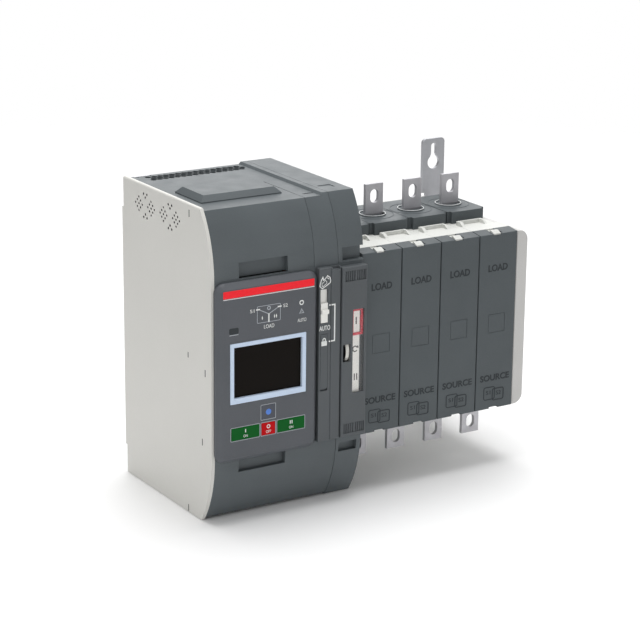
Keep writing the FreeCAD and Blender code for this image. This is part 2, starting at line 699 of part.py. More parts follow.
crank_2 = cut(fuse(*lever(shaft_2, to_top, LINK_ARM, CRANK_X, 4.2, 10),
                   cylinder("x", 128, *link_pin_2, LINK_PIN, 4.6)), bore_2)
piece(crank_2, "source_2_crank")
piece(link(128.8, 131.4, link_pin_1, link_pin_2, 3.2, 4.4, LINK_PIN), "coupling_link")

# manual drive rocker behind the slot in the indicator panel
rocker = cut(fuse(cylinder("x", 124.3, *rocker_center, dim.rocker_radius, 2.9),
                  cylinder("x", 121.6, *rocker_center, 3.8, 5.0),
                  *lever(rocker_center, to_bottom, MANUAL_ARM, (124.3, 127.2), 3.6, 10),
                  cylinder("x", 122.0, *rocker_link_pin, MANUAL_PIN, 3.6)),
             cylinder("x", 120, *rocker_center, 2.05, 10))
piece(rocker, "manual_drive_rocker")

# pin with a head on the right and a bracket plate on the left
y, z = rocker_center
piece(fuse(cylinder("x", 119.6, y, z, 2.0, 9.4), cylinder("x", 127.3, y, z, 3.0, 1.7),
           box(119.6, wall, z - 16, 120.6, y + 12, z + 16)), "rocker_pin")
piece(link(121.4, 124.2, rocker_link_pin, manual_pin, 2.4, 4.0, MANUAL_PIN), "manual_link")

for label, shaft in (("source_1_shaft", shaft_1), ("source_2_shaft", shaft_2)):
    piece(cylinder("x", 91.0, *shaft, dim.shaft_radius, 312.5 - 91.0), label)

# ---------------------------------------------------------------- rotors and moving contacts
POLES = 4
BLADE_OFFSET_1, BLADE_OFFSET_2 = -10.0, 6.0     # left face of a blade from its pole's middle


def pole_middle(pole):
    return dim.pole_x + dim.pole_pitch * (pole + 0.5)


def blade(x, shaft, angle, grow):
    """A flat bar with an eye for the shaft; grow widens it for the rotor's slot."""
    thick = dim.blade_thick + 2 * grow
    reach = dim.blade_reach
    bar = turned_box(x - grow, shaft, angle, -reach,
                     (thick, reach * 2, dim.blade_width + 2 * grow))
    return fuse(bar, cylinder("x", x - grow, *shaft, 9.0 + grow, thick))


def shaft_bore(middle, shaft):
    return cylinder("x", middle - 15, *shaft, bore_radius, 30)


for tag, shaft, angle, offset in (("source_1", shaft_1, 58.1, BLADE_OFFSET_1),
                                  ("source_2", shaft_2, 67.9, BLADE_OFFSET_2)):
    drums, blades = [], []
    for pole in range(POLES):
        middle = pole_middle(pole)
        x = middle + offset
        drums.append(cut(cylinder("x", middle - 14, *shaft, dim.drum_radius, 28),
                         shaft_bore(middle, shaft), blade(x, shaft, angle, 0.05)))
        blades.append(cut(blade(x, shaft, angle, 0.0), shaft_bore(middle, shaft)))
    piece(group(*drums), tag + "_rotors")
    piece(group(*blades), tag + "_contacts")

# ---------------------------------------------------------------- terminals
JAW_PLATE, JAW_GAP = 2.0, 0.35            # plate thickness, and its gap to the blade
source_1_y, source_2_y = dim.load_y - dim.source_step, dim.load_y + dim.source_step


def bolt_slot(x, y, z):
    """A vertical slot through a tongue, centred at x, y, z."""
    radius = dim.slot_radius
    half = dim.slot_length / 2 - radius
    return fuse(box(x - radius, y - 4, z - half, x + radius, y + 4, z + half),
                cylinder("y", x, y - 4, z - half, radius, 8),
                cylinder("y", x, y - 4, z + half, radius, 8))


def jaw_span(middle, offset):
    """The outer x limits of the jaw around the blade at offset."""
    x = middle + offset
    reach = JAW_GAP + JAW_PLATE
    return x - reach, x + dim.blade_thick + reach


def jaw(middle, y, z0, z1, offset):
    """Two contact plates, one on each side of a moving contact."""
    x0, x1 = jaw_span(middle, offset)
    return [box(x, y - 8, z0, x + JAW_PLATE, y + 8, z1) for x in (x0, x1 - JAW_PLATE)]


def terminal(x, y, tongue_z, bar_z, cross_x, cross_z, jaws, slot_z):
    """A slotted tongue, a bar, a crossbar and the jaws; ranges are (low, high)."""
    half_width, half_bar = dim.tongue_width / 2, dim.bar_thick / 2
    half_tongue = dim.tongue_thick / 2
    tongue = box(x - half_width, y - half_tongue, tongue_z[0],
                 x + half_width, y + half_tongue, tongue_z[1])
    bar = box(x - half_width, y - half_bar, bar_z[0], x + half_width, y + half_bar, bar_z[1])
    cross = box(cross_x[0], y - half_bar, cross_z[0], cross_x[1], y + half_bar, cross_z[1])
    return cut(fuse(tongue, bar, cross, *jaws), bolt_slot(x, y, slot_z))


def load_terminal(pole):
    x, y = pole_middle(pole), dim.load_y
    cross_x = (jaw_span(x, BLADE_OFFSET_1)[0], jaw_span(x, BLADE_OFFSET_2)[1])
    jaws = jaw(x, y, 157, 175, BLADE_OFFSET_1) + jaw(x, y, 157, 175, BLADE_OFFSET_2)
    return terminal(x, y, (223.0, dim.tongue_top), (172, 224), cross_x, (170.5, 178), jaws,
                    dim.tongue_top - dim.slot_below_top)


def source_terminal(pole, y, offset):
    x = pole_middle(pole)
    return terminal(x, y, (dim.tongue_bottom, 53.0), (52, 92), jaw_span(x, offset), (86, 94.5),
                    jaw(x, y, 90, 108, offset), dim.tongue_bottom + dim.slot_above_bottom)


piece(group(*[load_terminal(k) for k in range(POLES)]), "load_terminals")
for label, y, offset in (("source_1_terminals", source_1_y, BLADE_OFFSET_1),
                         ("source_2_terminals", source_2_y, BLADE_OFFSET_2)):
    piece(group(*[source_terminal(k, y, offset) for k in range(POLES)]), label)

# ---------------------------------------------------------------- poles
pole_top, pole_bottom = dim.pole_top, dim.pole_bottom
body_front, cover_front = dim.body_front, dim.cover_front
CLIP_LEFT = 5.3                           # from the clip's left face to the pole's middle


def tongue_opening(middle, y):
    return rect(middle - 10.4, y - 2.2, middle + 10.4, y + 2.2)


def pole_body(label, x0, x1, middle):
    """Moulded body, open to the front, with a rail and a terminal shroud on top."""
    body = new_body(label)
    back = depth - 0.2
    clip_x = middle - CLIP_LEFT
    pad(body, "y", body_front, back, rect(x0 + 0.1, pole_bottom, x1 - 0.1, pole_top))
    pocket(body, "y", body_front - 1, back - 2.5,
           rect(x0 + 2, pole_bottom + 3, x1 - 2, pole_top - 3))
    pad(body, "z", pole_top - 0.5, pole_top + dim.rail_height,
        rect(x0 + 0.1, body_front, x1 - 0.1, 31.5))
    # shroud
    pad(body, "x", middle - 15.5, middle + 10.5, outline(
        [(34.5, pole_top - 0.5), (34.5, pole_top + 0.8), (39.5, pole_top + 3.6),
         (44.5, pole_top + 3.6), (44.5, pole_top - 0.5)]))
    pocket(body, "z", pole_top + 0.3, pole_top + 6, rect(middle - 12.3, 34, middle + 8.3, 42.7))
    # snap clip that stands in a notch of the front cover
    pad(body, "x", clip_x, clip_x + dim.clip_width, outline(
        [(3.1, pole_top - 1.0), (3.1, pole_top + 0.3), (6.9, pole_top + 2.2),
         (9.0, pole_top + 2.2), (9.6, pole_top + 0.4), (body_front + 1, pole_top + 0.4),
         (body_front + 1, pole_top - 2.9), (6.0, pole_top - 2.9), (6.0, pole_top - 1.0)]))
    pocket(body, "z", pole_top - 4, pole_top + 6, tongue_opening(middle, dim.load_y))
    for y in (source_1_y, source_2_y):
        pocket(body, "z", pole_bottom - 1, pole_bottom + 4, tongue_opening(middle, y))
    pocket(body, "x", x0 - 1, x1 + 1, shaft_and_rod_holes)
    piece(body, label)


def pole_cover(label, x0, x1, middle):
    """Front cover, hollow at the back, with a notch for the clip and a label field."""
    body = new_body(label)
    clip_x0 = middle - CLIP_LEFT
    clip_x1 = clip_x0 + dim.clip_width
    behind = body_front + 1
    pad(body, "x", x0 + 0.45, x1 - 0.45, outline(
        [(cover_front, pole_bottom), (cover_front, pole_top),
         (body_front - 0.05, pole_top + dim.rail_height), (body_front - 0.05, pole_bottom)]))
    dress(body, "Fillet", 0.8, ends_at(y=cover_front))
    pocket(body, "y", cover_front + 2.5, behind,
           rect(x0 + 2.6, pole_bottom + 2.5, x1 - 2.6, pole_top - 2.6))
    # notch around the clip, deep behind and shallow in front, and a pit on its right
    pocket(body, "z", pole_top - 3.1, pole_top + 4,
           rect(clip_x0 - 0.2, 5.8, clip_x1 + 0.2, behind))
    pocket(body, "z", pole_top - 1.2, pole_top + 4,
           rect(clip_x0 - 0.2, cover_front - 1, clip_x1 + 0.2, 5.9))
    pocket(body, "z", pole_top - 3.1, pole_top + 4, rect(clip_x1 + 0.1, 4.2, clip_x1 + 2.6, 12.5))
    # notch in the bottom edge
    pocket(body, "y", cover_front - 1, behind,
           rect(middle - 5, pole_bottom - 1, middle + 5, pole_bottom + 1.6))
    # label field: a sunk border around a plate
    pocket(body, "y", cover_front - 1, cover_front + 0.35,
           rect(middle - 8.9, 123.2, middle + 8.9, 140.2))
    pad(body, "y", cover_front + 0.1, cover_front + 1,
        rect(middle - 8.2, 123.9, middle + 8.2, 139.5))
    piece(body, label)


def terminal_block(label, x0, x1, middle, left_gap):
    """Block on top of a pole with a round collar around the load terminal."""
    body = new_body(label)
    left, right = x0 + left_gap, x1 - 0.2
    top, front, back = dim.block_top, dim.block_front, dim.block_back
    step = front + 3.5
    collar_y = dim.load_y + 1
    pad(body, "z", pole_top, top, outline(
        [(left + 3.0, front), (right - 3.0, front), (right - 3.0, step), (right, step),
         (right, back), (left, back), (left, step), (left + 3.0, step)]))
    pad(body, "z", top - 0.5, top + 0.9, circles([(middle, collar_y, 11.9)]))
    pocket(body, "z", top + 0.1, top + 2, circles([(middle, collar_y, 10.9)]))
    pocket(body, "z", pole_top - 1, top + 2, tongue_opening(middle, dim.load_y))
    piece(body, label)


for pole in range(POLES):
    x0 = dim.pole_x + dim.pole_pitch * pole
    span = (x0, x0 + dim.pole_pitch, pole_middle(pole))
    pole_body("pole_body_%d" % (pole + 1), *span)
    pole_cover("pole_cover_%d" % (pole + 1), *span)
    # the last block is narrower on its left
    left_gap = 0.9 if pole == POLES - 1 else 0.2
    terminal_block("terminal_block_%d" % (pole + 1), *span, left_gap)

# ---------------------------------------------------------------- right end cover
# carries the shaft bearings
end_x0, end_x1 = dim.pole_x + dim.pole_pitch * POLES + 0.1, dim.end_x
END_FRONT = 2.8


def upright_or_deep_edge(start, end):
    return ends_at(x=end_x1)(start, end) and abs(start.y - end.y) > 50


end_cover = new_body("end_cover")
pad(end_cover, "y", END_FRONT, depth - 0.2, rect(end_x0, pole_bottom, end_x1, pole_top))
dress(end_cover, "Fillet", 9.0, upright_or_deep_edge)
dress(end_cover, "Fillet", 1.0, ends_at(y=END_FRONT))
pocket(end_cover, "x", end_x0 - 1, end_x1 - 3,
       circles([(*shaft_1, running_radius), (*shaft_2, running_radius)] + rod_holes))
piece(end_cover, "end_cover")

# ---------------------------------------------------------------- steel base plate with feet
half_foot = dim.foot_width / 2
left_foot_edge = dim.left_foot_x + half_foot
foot_x0, foot_x1 = dim.right_foot_x - half_foot, dim.right_foot_x + half_foot
foot_z0, foot_z1, left_z1 = dim.foot_bottom, dim.right_foot_top, dim.left_foot_top


def right_foot_corner(start, end):
    """Corner edges through the plate's thickness at the ends of the right feet."""
    at_end = ends_at(z=foot_z1)(start, end) or ends_at(z=foot_z0)(start, end)
    return near(start.x, end.x) and start.x > 300 and at_end


base = new_body("base_plate")
pad(base, "y", depth + 0.02, depth + dim.base_thick, outline(
    [(3.3, foot_z0), (left_foot_edge, foot_z0), (left_foot_edge, 40), (foot_x0, 40),
     (foot_x0, foot_z0), (foot_x1, foot_z0), (foot_x1, foot_z1), (foot_x0, foot_z1),
     (foot_x0, 214), (foot_x0 + 4.5, 214), (foot_x0 + 4.5, 205), (left_foot_edge, 205),
     (left_foot_edge, left_z1), (3.3, left_z1)]))
dress(base, "Fillet", 4.0, right_foot_corner)
# on each side a keyhole at the top, with a tapered throat, and a round hole at the bottom
slot = dim.keyslot_radius
for x in (dim.left_foot_x, dim.right_foot_x):
    for hole in (circles([(x, hole_z - 14.9, dim.keyhole_radius)]),
                 rect(x - slot, hole_z - 13.0, x + slot, hole_z),
                 circles([(x, hole_z, slot)]),
                 outline([(x - 4.2, hole_z - 10.8), (x + 4.2, hole_z - 10.8),
                          (x + slot, hole_z - 7.5), (x - slot, hole_z - 7.5)]),
                 circles([(x, dim.hole_bottom_z, slot)])):
        pocket(base, "y", depth - 1, depth + dim.base_thick + 1, hole)
piece(base, "base_plate")

# ---------------------------------------------------------------- tie rods through the poles
rod_x = width - wall - 1
rods = [fuse(cylinder("x", rod_x - 2, y, z, 4.0, 3.0),
             cylinder("x", rod_x, y, z, dim.rod_radius, end_x1 - 4 - rod_x)) for y, z in RODS]
piece(group(*rods), "tie_rods")

doc.recompute()

# ---------------------------------------------------------------- checks and export
failed = [obj.Label for obj in doc.Objects if "Invalid" in obj.State or "Error" in obj.State]
if failed:
    raise SystemExit("failed objects: " + ", ".join(failed))
if len({obj.Label for obj in PIECES}) != len(PIECES):
    raise SystemExit("two pieces share a name")
for obj in PIECES:
    if obj.Shape.isNull() or not obj.Shape.isValid() or obj.Shape.Volume <= 0:
        raise SystemExit("bad shape: " + obj.Label)
os.makedirs("parts", exist_ok=True)
for obj in PIECES:
    obj.Shape.exportStep(os.path.join("parts", obj.Label + ".step"))
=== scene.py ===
"""Four-pole switch with an operator panel, a selector console and a steel side plate.

The front looks along -Y, the side plate is on the left (-X) and +Z is up.
Marks and added pieces are placed in millimetres in a corner frame: x from the left
side plate, y from the housing's front, z from the bottom.
"""

import json
import math

import bmesh
import bpy
from mathutils import Matrix, Vector


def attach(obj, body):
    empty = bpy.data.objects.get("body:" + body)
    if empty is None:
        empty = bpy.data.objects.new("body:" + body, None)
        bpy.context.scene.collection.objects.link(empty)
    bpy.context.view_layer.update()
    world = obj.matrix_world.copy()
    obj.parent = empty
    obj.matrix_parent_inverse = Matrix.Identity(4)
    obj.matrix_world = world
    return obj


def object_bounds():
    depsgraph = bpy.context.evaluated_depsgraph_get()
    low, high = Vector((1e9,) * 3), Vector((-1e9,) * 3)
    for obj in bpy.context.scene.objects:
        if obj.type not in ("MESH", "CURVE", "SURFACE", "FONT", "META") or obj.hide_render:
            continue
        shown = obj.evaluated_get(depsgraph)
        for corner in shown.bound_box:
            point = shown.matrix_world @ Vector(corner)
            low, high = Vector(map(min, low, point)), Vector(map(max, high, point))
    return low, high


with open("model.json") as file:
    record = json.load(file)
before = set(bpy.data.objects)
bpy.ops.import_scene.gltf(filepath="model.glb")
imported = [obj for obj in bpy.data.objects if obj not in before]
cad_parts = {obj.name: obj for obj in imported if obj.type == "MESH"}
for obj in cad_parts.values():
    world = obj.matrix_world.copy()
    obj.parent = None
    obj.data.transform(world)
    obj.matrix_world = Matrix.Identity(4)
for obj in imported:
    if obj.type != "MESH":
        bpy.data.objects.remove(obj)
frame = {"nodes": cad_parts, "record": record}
cad_low, cad_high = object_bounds()
scene = bpy.context.scene

MM = 1000.0  # millimetres in a metre
ORIGIN = Vector((167.5, 154.0, 132.25))  # the scene's origin in the corner frame

# Faces that carry marks: y in the corner frame
PANEL_FACE = -7.5
KEY_FACE = -7.85
CONSOLE_FACE = -6.0
SCALE_FACE = -3.9
POLE_FACE = 2.3
MARK_SINK = 0.04  # how far a mark reaches into its face

POLES = 4
FIRST_POLE = 144.5  # left edge of the first pole
POLE_PITCH = 40.0


def corner(x, y, z):
    """A corner-frame place, in the scene's metres."""
    return (Vector((x, y, z)) - ORIGIN) / MM


def srgb(*channels):
    """Linear colour from sRGB channels of 0 to 255."""
    def linear(value):
        value /= 255.0
        return value / 12.92 if value <= 0.04045 else ((value + 0.055) / 1.055) ** 2.4
    return (*map(linear, channels), 1.0)


def shade(colour, gain):
    return (*(min(channel * gain, 1.0) for channel in colour[:3]), 1.0)


# ---------------------------------------------------------------- shader building
class Shader:
    """A node material, with a method for each node used again and again."""

    def __init__(self, name):
        self.material = bpy.data.materials.new(name)
        self.material.use_nodes = True
        self.tree = self.material.node_tree
        self.coords = self.node("ShaderNodeTexCoord").outputs["Object"]

    def feed(self, socket, value):
        """Link an output to the socket, or set a plain value on it."""
        if isinstance(value, bpy.types.NodeSocket):
            self.tree.links.new(value, socket)
        else:
            socket.default_value = value

    def node(self, kind, inputs=None, **settings):
        node = self.tree.nodes.new(kind)
        for key, value in settings.items():
            setattr(node, key, value)
        for key, value in (inputs or {}).items():
            self.feed(node.inputs[key], value)
        return node

    def surface(self, name, value):
        self.feed(self.tree.nodes["Principled BSDF"].inputs[name], value)

    def noise(self, scale, detail=3.0, rough=0.5, stretch=None):
        coords = self.coords
        if stretch:
            mapping = self.node("ShaderNodeMapping", {"Scale": stretch, "Vector": coords})
            coords = mapping.outputs["Vector"]
        return self.node("ShaderNodeTexNoise", {
            "Scale": scale, "Detail": detail, "Roughness": rough, "Vector": coords,
        }).outputs["Fac"]

    def voronoi(self, scale):
        inputs = {"Scale": scale, "Vector": self.coords}
        return self.node("ShaderNodeTexVoronoi", inputs).outputs["Distance"]

    def remap(self, value, low=0.3, high=0.7, to_low=0.0, to_high=1.0):
        """Map low..high, by default a noise's useful range, to another range."""
        inputs = {0: value, 1: low, 2: high, 3: to_low, 4: to_high}
        return self.node("ShaderNodeMapRange", inputs).outputs[0]

    def mix(self, factor, first, second):
        inputs = {0: factor, 6: first, 7: second}
        return self.node("ShaderNodeMix", inputs, data_type="RGBA").outputs[2]

    def tones(self, factor, colour, dark, light):
        """Mix a darker and a lighter gain of one colour."""
        return self.mix(factor, shade(colour, dark), shade(colour, light))

    def math(self, operation, first, second):
        inputs = {0: first, 1: second}
        return self.node("ShaderNodeMath", inputs, operation=operation).outputs[0]

    def edge(self, radius):
        """1 along edges, 0 on flats."""
        bevel = self.node("ShaderNodeBevel", {"Radius": radius}, samples=4)
        normal = self.node("ShaderNodeNewGeometry").outputs["Normal"]
        inputs = {0: bevel.outputs[0], 1: normal}
        dot = self.node("ShaderNodeVectorMath", inputs, operation="DOT_PRODUCT")
        return self.remap(dot.outputs["Value"], low=0.985, high=0.86)

    def roughness(self, texture, low, high):
        self.surface("Roughness", self.remap(texture, to_low=low, to_high=high))

    def bump(self, height, distance, strength=1.0):
        inputs = {"Distance": distance, "Strength": strength, "Height": height}
        self.surface("Normal", self.node("ShaderNodeBump", inputs).outputs[0])


# ---------------------------------------------------------------- materials
def plastic(name, colour, rough, grain, depth, vary, edge_highlight, specular):
    """Moulded plastic: grain, slow colour drift, and a painted highlight along the edges,
    broken into patches.
    """
    shader = Shader(name)
    colour = srgb(*colour)
    drift = shader.remap(shader.noise(scale=22, detail=4))
    base = shader.tones(drift, colour, dark=1 - vary, light=1 + vary)
    speck = shader.remap(shader.noise(scale=900, detail=2), low=0.35, high=0.65)
    base = shader.mix(shader.math("MULTIPLY", speck, 0.12), base, shade(colour, gain=1.35))
    # painted highlight: edges mixed toward a lighter copy of the colour, in patches
    if edge_highlight:
        patches = shader.remap(shader.noise(scale=160), to_low=0.35)
        edge_highlight_mix = shader.math("MULTIPLY", shader.edge(radius=0.0006), patches)
        edge_highlight_mix = shader.math("MULTIPLY", edge_highlight_mix, edge_highlight)
        base = shader.mix(edge_highlight_mix, base, shade(colour, gain=1.9))
    shader.surface("Base Color", base)
    shader.roughness(shader.noise(scale=60, detail=4), rough - 0.05, rough + 0.06)
    shader.surface("Specular IOR Level", specular)
    fine = shader.math("MULTIPLY", shader.noise(grain * 0.6), 0.8)
    shader.bump(shader.math("ADD", shader.voronoi(grain), fine), depth)
    return shader.material


def metal(name, colour, rough, stretch, grain, blotch, metallic):
    """Rolled and plated sheet: brushing along one direction, blotches, edge shine."""
    shader = Shader(name)
    colour = srgb(*colour)
    lines = shader.noise(grain, detail=2, rough=0.6, stretch=stretch)
    cloud = shader.remap(shader.noise(scale=55, detail=5, rough=0.6))
    base = shader.tones(cloud, colour, dark=1 - blotch, light=1 + blotch)
    shine = shader.math("MULTIPLY", shader.edge(radius=0.0004), 0.35)
    shader.surface("Base Color", shader.mix(shine, base, shade(colour, gain=1.5)))
    shader.surface("Metallic", metallic)
    shader.roughness(lines, rough - 0.07, rough + 0.09)
    shader.bump(lines, distance=0.00001, strength=0.6)
    return shader.material


def ink(name, colour, rough):
    """Screen-printed ink: slightly uneven coverage."""
    shader = Shader(name)
    cover = shader.remap(shader.noise(scale=1400))
    shader.surface("Base Color", shader.tones(cover, srgb(*colour), dark=0.9, light=1.03))
    shader.roughness(shader.noise(scale=500, detail=2), rough - 0.06, rough + 0.06)
    shader.bump(cover, distance=0.00001, strength=0.5)
    return shader.material


def powder_coat(name):
    """Powder coat on steel: orange peel and fine texture."""
    shader = Shader(name)
    colour = srgb(212, 211, 206)
    peel = shader.noise(scale=420, rough=0.55)
    base = shader.tones(shader.remap(shader.noise(scale=9)), colour, dark=0.975, light=1.02)
    fleck = shader.remap(shader.noise(scale=1700, detail=1), low=0.62, high=0.72, to_high=0.2)
    shader.surface("Base Color", shader.mix(fleck, base, shade(colour, gain=0.8)))
    shader.roughness(peel, low=0.4, high=0.55)
    fine = shader.math("MULTIPLY", shader.noise(scale=1900, detail=2), 0.4)
    shader.bump(shader.math("ADD", peel, fine), distance=0.00004)
    return shader.material


def screen(name):
    """Display window: near-black, glossy, with a faint cell lattice beneath."""
    shader = Shader(name)
    lattice = shader.remap(shader.voronoi(scale=2600), low=0.0, high=0.6)
    shader.surface("Base Color", shader.mix(lattice, srgb(13, 10, 8), srgb(20, 16, 13)))
    shader.roughness(shader.noise(scale=35, detail=4), low=0.12, high=0.2)
    shader.surface("Specular IOR Level", 0.06)
    shader.bump(shader.noise(scale=120, detail=2), distance=0.000004, strength=0.4)
    return shader.material


def clear(name):
    """Almost invisible clear window."""
    shader = Shader(name)
    shader.surface("Base Color", (0.93, 0.95, 0.96, 1))
    shader.roughness(shader.noise(scale=90, detail=4), low=0.04, high=0.12)
    shader.surface("Alpha", 0.06)
    shader.surface("IOR", 1.45)
    shader.bump(shader.noise(scale=150, detail=2), distance=0.000004, strength=0.3)
    return shader.material


def winding(name):
    """Enamelled wire wound round a vertical bobbin."""
    shader = Shader(name)
    inputs = {"Scale": 420, "Distortion": 0.6, "Vector": shader.coords}
    turns = shader.node("ShaderNodeTexWave", inputs, wave_type="BANDS", bands_direction="Z")
    turns = turns.outputs["Fac"]
    shader.surface("Base Color", shader.mix(turns, srgb(95, 40, 18), srgb(184, 100, 52)))
    shader.surface("Metallic", 0.5)
    shader.roughness(shader.noise(scale=200, detail=2), low=0.28, high=0.42)
    shader.bump(turns, distance=0.0001)
    return shader.material


# name: sRGB colour, roughness, grain scale, grain depth (m), colour drift, painted edge
# highlight, specular
PLASTICS = {
    "housing": ((88, 94, 97), 0.48, 1300, 3e-5, 0.05, 0.16, 0.3),
    "panel_plastic": ((86, 89, 94), 0.42, 1900, 1.5e-5, 0.05, 0.16, 0.3),
    "black_plastic": ((34, 35, 36), 0.5, 1500, 3e-5, 0.05, 0.16, 0.3),
    "display_frame": ((200, 216, 238), 0.35, 2300, 1e-5, 0.03, 0.1, 0.3),
    "green_key": ((0, 88, 28), 0.4, 2200, 1.2e-5, 0.05, 0.1, 0.12),
    "red_key": ((186, 0, 10), 0.4, 2200, 1.2e-5, 0.05, 0.1, 0.12),
    "auto_key": ((84, 87, 95), 0.4, 2200, 1.2e-5, 0.05, 0.1, 0.12),
    "console_plastic": ((84, 88, 91), 0.45, 1600, 2e-5, 0.05, 0.16, 0.3),
    "light_plastic": ((240, 239, 234), 0.42, 1900, 1.5e-5, 0.03, 0.0, 0.3),
    "scale_plastic": ((246, 244, 238), 0.5, 2100, 1e-5, 0.03, 0.0, 0.3),
    "red_indicator": ((206, 40, 62), 0.35, 2100, 1e-5, 0.04, 0.0, 0.3),
    "pole_frame": ((208, 209, 205), 0.5, 1600, 2e-5, 0.03, 0.0, 0.3),
    "pole_dark": ((80, 86, 89), 0.5, 1300, 3e-5, 0.05, 0.16, 0.3),
    "end_cover": ((196, 195, 193), 0.5, 1500, 2e-5, 0.03, 0.0, 0.3),
    "rotor_plastic": ((44, 46, 48), 0.5, 1500, 3e-5, 0.05, 0.16, 0.3),
    "board": ((20, 92, 58), 0.35, 900, 5e-5, 0.1, 0.1, 0.3),
    "terminal_green": ((42, 132, 82), 0.45, 1500, 3e-5, 0.05, 0.16, 0.3),
    # mark_dark also carries painted shade: the shadow in the pole covers' recessed marks
    "mark_dark": ((48, 53, 56), 0.6, 1500, 2e-5, 0.04, 0.0, 0.3),
}
# name: sRGB colour, roughness, brushing stretch (x, y, z), grain scale, blotch, metallic
METALS = {
    "plated_copper": ((188, 187, 191), 0.45, (1, 1, 0.04), 900, 0.12, 0.62),
    "contact_copper": ((196, 128, 92), 0.32, (1, 1, 0.04), 900, 0.12, 0.85),
    "zinc_plate": ((178, 179, 183), 0.42, (1, 1, 0.03), 700, 0.09, 0.7),
    "steel": ((168, 169, 172), 0.35, (0.05, 1, 1), 900, 0.12, 0.85),
    "dark_steel": ((52, 54, 57), 0.5, (1, 0.1, 1), 900, 0.15, 0.6),
}
# name: sRGB colour, roughness
INKS = {
    "white_ink": ((232, 234, 232), 0.45),
    "pale_ink": ((176, 182, 188), 0.45),
    "rim_band": ((222, 221, 214), 0.4),
    "red_ink": ((255, 0, 30), 0.6),
    "dark_ink": ((72, 66, 66), 0.45),
    "blue_ink": ((74, 126, 214), 0.35),
    # light ring on the terminal collars: a painted highlight, standing in for the glint on the
    # collars' upward chamfer
    "collar_rim": ((226, 228, 228), 0.35),
}
MATERIALS = {
    "side_plate": powder_coat("side_plate"),
    "display_glass": screen("display_glass"),
    "clear_window": clear("clear_window"),
    "coil": winding("coil"),
}
for make, looks in ((plastic, PLASTICS), (metal, METALS), (ink, INKS)):
    for name, look in looks.items():
        MATERIALS[name] = make(name, *look)

# ---------------------------------------------------------------- CAD pieces
# Edge rounding by material slot, in millimetres
EDGE_RADII = {
    "housing": 0.35, "panel_plastic": 0.4, "console_plastic": 0.3, "pole_frame": 0.35,
    "pole_dark": 0.35, "end_cover": 0.4, "plated_copper": 0.3, "zinc_plate": 0.25,
    "display_frame": 0.25, "green_key": 0.2, "red_key": 0.2, "auto_key": 0.2,
    "light_plastic": 0.3, "red_indicator": 0.12,
}


def round_edges(obj, radius):
    """Merge the CAD triangles into flats, then bevel the edges between them."""
    weld = obj.modifiers.new("weld", "WELD")
    weld.merge_threshold = 0.000005
    flats = obj.modifiers.new("flats", "DECIMATE")
    flats.decimate_type = "DISSOLVE"
    flats.angle_limit = math.radians(0.6)
    bevel = obj.modifiers.new("round", "BEVEL")
    bevel.width = radius / MM
    bevel.segments = 2
    bevel.limit_method = "ANGLE"
    bevel.angle_limit = math.radians(32)
    bevel.use_clamp_overlap = True
    bevel.harden_normals = True


def dress_cad():
    slots = {part["node"]: part["material_slot"] for part in frame["record"]["subparts"]}
    for name, obj in frame["nodes"].items():
        material = MATERIALS[slots[name]]
        if not obj.material_slots:
            obj.data.materials.append(material)
        for slot in obj.material_slots:
            slot.material = material
        radius = EDGE_RADII.get(slots[name])
        if radius:
            round_edges(obj, radius)


dress_cad()


# ---------------------------------------------------------------- shape tools
def circle(x, z, radius, steps=32, start=0.0, end=360.0):
    """Points round a circle, or along an arc with both ends included."""
    points = []
    for i in range(steps if end - start >= 360 else steps + 1):
        angle = math.radians(start + (end - start) * i / steps)
        points.append((x + radius * math.cos(angle), z + radius * math.sin(angle)))
    return points


def box(left, bottom, right, top, radius):
    """Outline of a rectangle with rounded corners."""
    points = []
    for x, z, start in (
        (right - radius, bottom + radius, -90), (right - radius, top - radius, 0),
        (left + radius, top - radius, 90), (left + radius, bottom + radius, 180),
    ):
        points += circle(x, z, radius, steps=5, start=start, end=start + 90.0)
    return points


def skin(bm, rows, closed):
    """Join rows of vertices into a tube, closed on itself or capped at both ends."""
    for i in range(len(rows) if closed else len(rows) - 1):
        here, following = rows[i], rows[(i + 1) % len(rows)]
        for j in range(len(here)):
            k = (j + 1) % len(here)
            bm.faces.new((here[j], following[j], following[k], here[k]))
    if not closed:
        bm.faces.new(list(reversed(rows[0])))
        bm.faces.new(rows[-1])


def turn_about_x(bm, section, y, z, angles, closed):
    """Sweep a section of (x, radius) points about an axis along X through y, z."""
    skin(bm, [[bm.verts.new(corner(x, y + r * math.cos(angle), z + r * math.sin(angle)))
               for x, r in section] for angle in angles], closed)


def add_piece(name, bm, material, body="root", smooth=False):
    bmesh.ops.recalc_face_normals(bm, faces=bm.faces)
    mesh = bpy.data.meshes.new(name)
    bm.to_mesh(mesh)
    bm.free()
    if smooth:
        for face in mesh.polygons:
            face.use_smooth = True
    mesh.materials.append(MATERIALS[material])
    obj = bpy.data.objects.new(name, mesh)
    scene.collection.objects.link(obj)
    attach(obj, body)


